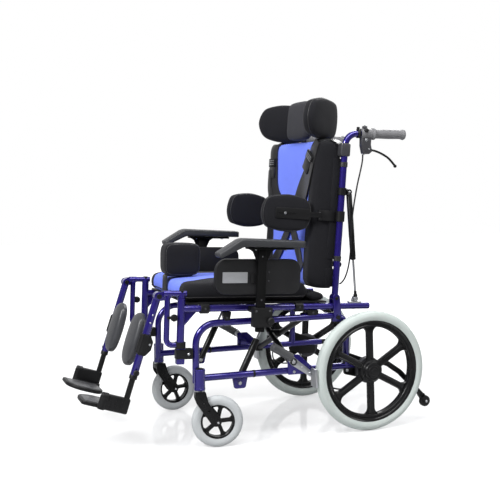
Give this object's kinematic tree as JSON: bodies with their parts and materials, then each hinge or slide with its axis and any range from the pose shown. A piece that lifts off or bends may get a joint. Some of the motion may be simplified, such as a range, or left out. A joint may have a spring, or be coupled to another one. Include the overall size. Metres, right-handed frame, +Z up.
{
  "type": "wheelchair",
  "caption": "Tilting and reclining wheelchair with spoked wheels, headrest, trunk and calf pads, pommel, swing-away leg rests and push handles.",
  "frame": {"origin": "on the floor, under the middle of the chair's overall box", "axes": "-Y is the way the sitter faces, +X is the sitter's left, +Z is up"},
  "size_m": [0.642, 1.205, 1.1069],
  "materials": {
    "anti_tip_tube": "satin",
    "anti_tip_wheel": "matt",
    "arm_pad": "fine grain",
    "arm_post": "satin",
    "back_cushion": "woven",
    "back_frame": "gloss",
    "brake_cable": "gloss",
    "brake_lever": "satin",
    "calf_pad": "woven",
    "caster_fork": "satin",
    "caster_wheel": "matt",
    "cross_brace": "satin",
    "foot_tube": "satin",
    "footplate": "matt",
    "hanger": "gloss",
    "harness": "webbing",
    "headrest_mount": "satin",
    "headrest_pad": "woven",
    "headrest_wing": "woven",
    "leg_tube": "gloss",
    "pommel": "woven",
    "push_handle": "fine grain",
    "rear_tyre": "matt",
    "rear_wheel": "matt",
    "recline_cylinder": "satin",
    "recline_rod": "polished",
    "seat_board": "matt",
    "seat_cushion": "woven",
    "seat_frame": "gloss",
    "side_frame": "gloss",
    "side_guard": "satin",
    "thorax_pad": "woven",
    "tilt_cylinder": "satin",
    "tilt_rod": "polished",
    "wheel_lock": "satin"
  },
  "bodies": {
    "base": {"side_frame_left": "side_frame", "side_frame_right": "side_frame", "cross_brace": "cross_brace", "anti_tip_tube_left": "anti_tip_tube", "anti_tip_tube_right": "anti_tip_tube"},
    "seat": {"seat_frame": "seat_frame", "seat_board": "seat_board", "seat_cushion": "seat_cushion", "pommel": "pommel"},
    "back": {"back_frame": "back_frame", "back_cushion": "back_cushion", "harness": "harness", "push_handle_left": "push_handle", "push_handle_right": "push_handle", "brake_cable_left": "brake_cable", "brake_cable_right": "brake_cable"},
    "headrest": {"headrest_mount": "headrest_mount", "headrest_pad": "headrest_pad"},
    "arm_left": {"arm_post_left": "arm_post", "arm_pad_left": "arm_pad", "side_guard_left": "side_guard"},
    "wheel_left": {"rear_wheel_left": "rear_wheel", "rear_tyre_left": "rear_tyre"},
    "anti_tip_wheel_left": {"anti_tip_wheel_left": "anti_tip_wheel"},
    "wheel_lock_left": {"wheel_lock_left": "wheel_lock"},
    "caster_fork_left": {"caster_fork_left": "caster_fork"},
    "caster_wheel_left": {"caster_wheel_left": "caster_wheel"},
    "tilt_cylinder_left": {"tilt_cylinder_left": "tilt_cylinder"},
    "tilt_rod_left": {"tilt_rod_left": "tilt_rod"},
    "recline_cylinder_left": {"recline_cylinder_left": "recline_cylinder"},
    "recline_rod_left": {"recline_rod_left": "recline_rod"},
    "brake_lever_left": {"brake_lever_left": "brake_lever"},
    "headrest_wing_left": {"headrest_wing_left": "headrest_wing"},
    "thorax_pad_left": {"thorax_pad_left": "thorax_pad"},
    "hanger_left": {"hanger_left": "hanger"},
    "leg_tube_left": {"leg_tube_left": "leg_tube"},
    "foot_tube_left": {"foot_tube_left": "foot_tube"},
    "footplate_left": {"footplate_left": "footplate"},
    "calf_pad_left": {"calf_pad_left": "calf_pad"},
    "arm_right": {"arm_post_right": "arm_post", "arm_pad_right": "arm_pad", "side_guard_right": "side_guard"},
    "wheel_right": {"rear_wheel_right": "rear_wheel", "rear_tyre_right": "rear_tyre"},
    "anti_tip_wheel_right": {"anti_tip_wheel_right": "anti_tip_wheel"},
    "wheel_lock_right": {"wheel_lock_right": "wheel_lock"},
    "caster_fork_right": {"caster_fork_right": "caster_fork"},
    "caster_wheel_right": {"caster_wheel_right": "caster_wheel"},
    "tilt_cylinder_right": {"tilt_cylinder_right": "tilt_cylinder"},
    "tilt_rod_right": {"tilt_rod_right": "tilt_rod"},
    "recline_cylinder_right": {"recline_cylinder_right": "recline_cylinder"},
    "recline_rod_right": {"recline_rod_right": "recline_rod"},
    "brake_lever_right": {"brake_lever_right": "brake_lever"},
    "headrest_wing_right": {"headrest_wing_right": "headrest_wing"},
    "thorax_pad_right": {"thorax_pad_right": "thorax_pad"},
    "hanger_right": {"hanger_right": "hanger"},
    "leg_tube_right": {"leg_tube_right": "leg_tube"},
    "foot_tube_right": {"foot_tube_right": "foot_tube"},
    "footplate_right": {"footplate_right": "footplate"},
    "calf_pad_right": {"calf_pad_right": "calf_pad"}
  },
  "joints": [
    {"name": "seat_tilt", "type": "hinge", "parent": "base", "child": "seat", "pos_m": [0, 0.2345, 0.381], "axis": [-1, 0, 0], "range_deg": [0, 25]},
    {"name": "back_recline", "type": "hinge", "parent": "seat", "child": "back", "pos_m": [0, 0.22903, 0.44503], "axis": [-1, 0, 0], "range_deg": [0, 45]},
    {"name": "headrest_height", "type": "slide", "parent": "back", "child": "headrest", "axis": [0, 0.0698, 0.9976], "range_m": [0, 0.06]},
    {"name": "rear_wheel_spin_left", "type": "hinge", "parent": "base", "child": "wheel_left", "pos_m": [0.2556, 0.3425, 0.2], "axis": [1, 0, 0], "continuous": true},
    {"name": "anti_tip_spin_left", "type": "hinge", "parent": "base", "child": "anti_tip_wheel_left", "pos_m": [0.216, 0.5818, 0.0669], "axis": [1, 0, 0], "continuous": true},
    {"name": "caster_swivel_left", "type": "hinge", "parent": "base", "child": "caster_fork_left", "pos_m": [0.2328, -0.2475, 0.17], "axis": [0, 0, 1], "continuous": true},
    {"name": "caster_spin_left", "type": "hinge", "parent": "caster_fork_left", "child": "caster_wheel_left", "pos_m": [0.24483, -0.19322, 0.081], "axis": [0.9763, -0.2164, 0], "continuous": true},
    {"name": "wheel_lock_turn_left", "type": "hinge", "parent": "base", "child": "wheel_lock_left", "pos_m": [0.2345, 0.0715, 0.246], "axis": [-1, 0, 0], "range_deg": [0, 35]},
    {"name": "tilt_spring_turn_left", "type": "hinge", "parent": "base", "child": "tilt_cylinder_left", "pos_m": [0.19, -0.1045, 0.186], "axis": [-1, 0, 0], "range_deg": [-3, 1]},
    {"name": "tilt_spring_slide_left", "type": "slide", "parent": "tilt_cylinder_left", "child": "tilt_rod_left", "axis": [0, 0.444, 0.896], "range_m": [0, 0.1]},
    {"name": "recline_spring_turn_left", "type": "hinge", "parent": "back", "child": "recline_cylinder_left", "pos_m": [0.216, 0.27928, 0.79377], "axis": [-1, 0, 0], "range_deg": [-1, 4]},
    {"name": "recline_spring_slide_left", "type": "slide", "parent": "recline_cylinder_left", "child": "recline_rod_left", "axis": [0, 0.0792, -0.9969], "range_m": [-0.06, 0]},
    {"name": "arm_height_left", "type": "slide", "parent": "seat", "child": "arm_left", "axis": [0, 0.0349, 0.9994], "range_m": [0, 0.05]},
    {"name": "brake_lever_pull_left", "type": "hinge", "parent": "back", "child": "brake_lever_left", "pos_m": [0.216, 0.34946, 0.93611], "axis": [1, 0, 0], "range_deg": [0, 22], "stiffness_Nm_per_rad": 2},
    {"name": "headrest_wing_turn_left", "type": "hinge", "parent": "headrest", "child": "headrest_wing_left", "pos_m": [0.086, 0.27318, 1.03338], "axis": [0, 0.0698, 0.9976], "range_deg": [-15, 30]},
    {"name": "thorax_pad_turn_left", "type": "hinge", "parent": "back", "child": "thorax_pad_left", "pos_m": [0.208, 0.17797, 0.71826], "axis": [0, 0.0698, 0.9976], "range_deg": [0, 60]},
    {"name": "hanger_swing_left", "type": "hinge", "parent": "seat", "child": "hanger_left", "pos_m": [0.216, -0.30197, 0.39973], "axis": [0, 0.0349, 0.9994], "range_deg": [0, 90]},
    {"name": "leg_elevation_left", "type": "hinge", "parent": "hanger_left", "child": "leg_tube_left", "pos_m": [0.205, -0.37229, 0.47774], "axis": [-1, 0, 0], "range_deg": [0, 70]},
    {"name": "foot_length_left", "type": "slide", "parent": "leg_tube_left", "child": "foot_tube_left", "axis": [0, -0.3057, -0.9521], "range_m": [0, 0.06]},
    {"name": "footplate_flip_left", "type": "hinge", "parent": "foot_tube_left", "child": "footplate_left", "pos_m": [0.187, -0.48525, 0.12592], "axis": [0, 0.9521, -0.3057], "range_deg": [0, 90]},
    {"name": "calf_pad_swing_left", "type": "hinge", "parent": "leg_tube_left", "child": "calf_pad_left", "pos_m": [0.205, -0.41907, 0.33206], "axis": [0, 0.3057, 0.9521], "range_deg": [0, 95]},
    {"name": "rear_wheel_spin_right", "type": "hinge", "parent": "base", "child": "wheel_right", "pos_m": [-0.2556, 0.3425, 0.2], "axis": [1, 0, 0], "continuous": true},
    {"name": "anti_tip_spin_right", "type": "hinge", "parent": "base", "child": "anti_tip_wheel_right", "pos_m": [-0.216, 0.5818, 0.0669], "axis": [1, 0, 0], "continuous": true},
    {"name": "caster_swivel_right", "type": "hinge", "parent": "base", "child": "caster_fork_right", "pos_m": [-0.2328, -0.2475, 0.17], "axis": [0, 0, 1], "continuous": true},
    {"name": "caster_spin_right", "type": "hinge", "parent": "caster_fork_right", "child": "caster_wheel_right", "pos_m": [-0.2361, -0.192, 0.081], "axis": [0.9982, 0.0593, 0], "continuous": true},
    {"name": "wheel_lock_turn_right", "type": "hinge", "parent": "base", "child": "wheel_lock_right", "pos_m": [-0.2345, 0.0715, 0.246], "axis": [-1, 0, 0], "range_deg": [0, 35]},
    {"name": "tilt_spring_turn_right", "type": "hinge", "parent": "base", "child": "tilt_cylinder_right", "pos_m": [-0.19, -0.1045, 0.186], "axis": [-1, 0, 0], "range_deg": [-3, 1]},
    {"name": "tilt_spring_slide_right", "type": "slide", "parent": "tilt_cylinder_right", "child": "tilt_rod_right", "axis": [0, 0.444, 0.896], "range_m": [0, 0.1]},
    {"name": "recline_spring_turn_right", "type": "hinge", "parent": "back", "child": "recline_cylinder_right", "pos_m": [-0.216, 0.27928, 0.79377], "axis": [-1, 0, 0], "range_deg": [-1, 4]},
    {"name": "recline_spring_slide_right", "type": "slide", "parent": "recline_cylinder_right", "child": "recline_rod_right", "axis": [0, 0.0792, -0.9969], "range_m": [-0.06, 0]},
    {"name": "arm_height_right", "type": "slide", "parent": "seat", "child": "arm_right", "axis": [0, 0.0349, 0.9994], "range_m": [0, 0.05]},
    {"name": "brake_lever_pull_right", "type": "hinge", "parent": "back", "child": "brake_lever_right", "pos_m": [-0.216, 0.34946, 0.93611], "axis": [1, 0, 0], "range_deg": [0, 22], "stiffness_Nm_per_rad": 2},
    {"name": "headrest_wing_turn_right", "type": "hinge", "parent": "headrest", "child": "headrest_wing_right", "pos_m": [-0.086, 0.27318, 1.03338], "axis": [0, -0.0698, -0.9976], "range_deg": [-15, 30]},
    {"name": "thorax_pad_turn_right", "type": "hinge", "parent": "back", "child": "thorax_pad_right", "pos_m": [-0.208, 0.17797, 0.71826], "axis": [0, -0.0698, -0.9976], "range_deg": [0, 60]},
    {"name": "hanger_swing_right", "type": "hinge", "parent": "seat", "child": "hanger_right", "pos_m": [-0.216, -0.30197, 0.39973], "axis": [0, -0.0349, -0.9994], "range_deg": [0, 90]},
    {"name": "leg_elevation_right", "type": "hinge", "parent": "hanger_right", "child": "leg_tube_right", "pos_m": [-0.205, -0.37229, 0.47774], "axis": [-1, 0, 0], "range_deg": [0, 70]},
    {"name": "foot_length_right", "type": "slide", "parent": "leg_tube_right", "child": "foot_tube_right", "axis": [0, -0.3057, -0.9521], "range_m": [0, 0.06]},
    {"name": "footplate_flip_right", "type": "hinge", "parent": "foot_tube_right", "child": "footplate_right", "pos_m": [-0.187, -0.48525, 0.12592], "axis": [0, -0.9521, 0.3057], "range_deg": [0, 90]},
    {"name": "calf_pad_swing_right", "type": "hinge", "parent": "leg_tube_right", "child": "calf_pad_right", "pos_m": [-0.205, -0.41907, 0.33206], "axis": [0, -0.3057, -0.9521], "range_deg": [0, 95]}
  ],
  "couplings": [
    {"joint": "tilt_spring_turn_left", "follows": "seat_tilt", "ratio": -0.08},
    {"joint": "tilt_spring_slide_left", "follows": "seat_tilt", "m_per_rad": 0.227},
    {"joint": "recline_spring_turn_left", "follows": "back_recline", "ratio": 0.057},
    {"joint": "recline_spring_slide_left", "follows": "back_recline", "m_per_rad": -0.0745},
    {"joint": "tilt_spring_turn_right", "follows": "seat_tilt", "ratio": -0.08},
    {"joint": "tilt_spring_slide_right", "follows": "seat_tilt", "m_per_rad": 0.227},
    {"joint": "recline_spring_turn_right", "follows": "back_recline", "ratio": 0.057},
    {"joint": "recline_spring_slide_right", "follows": "back_recline", "m_per_rad": -0.0745}
  ]
}
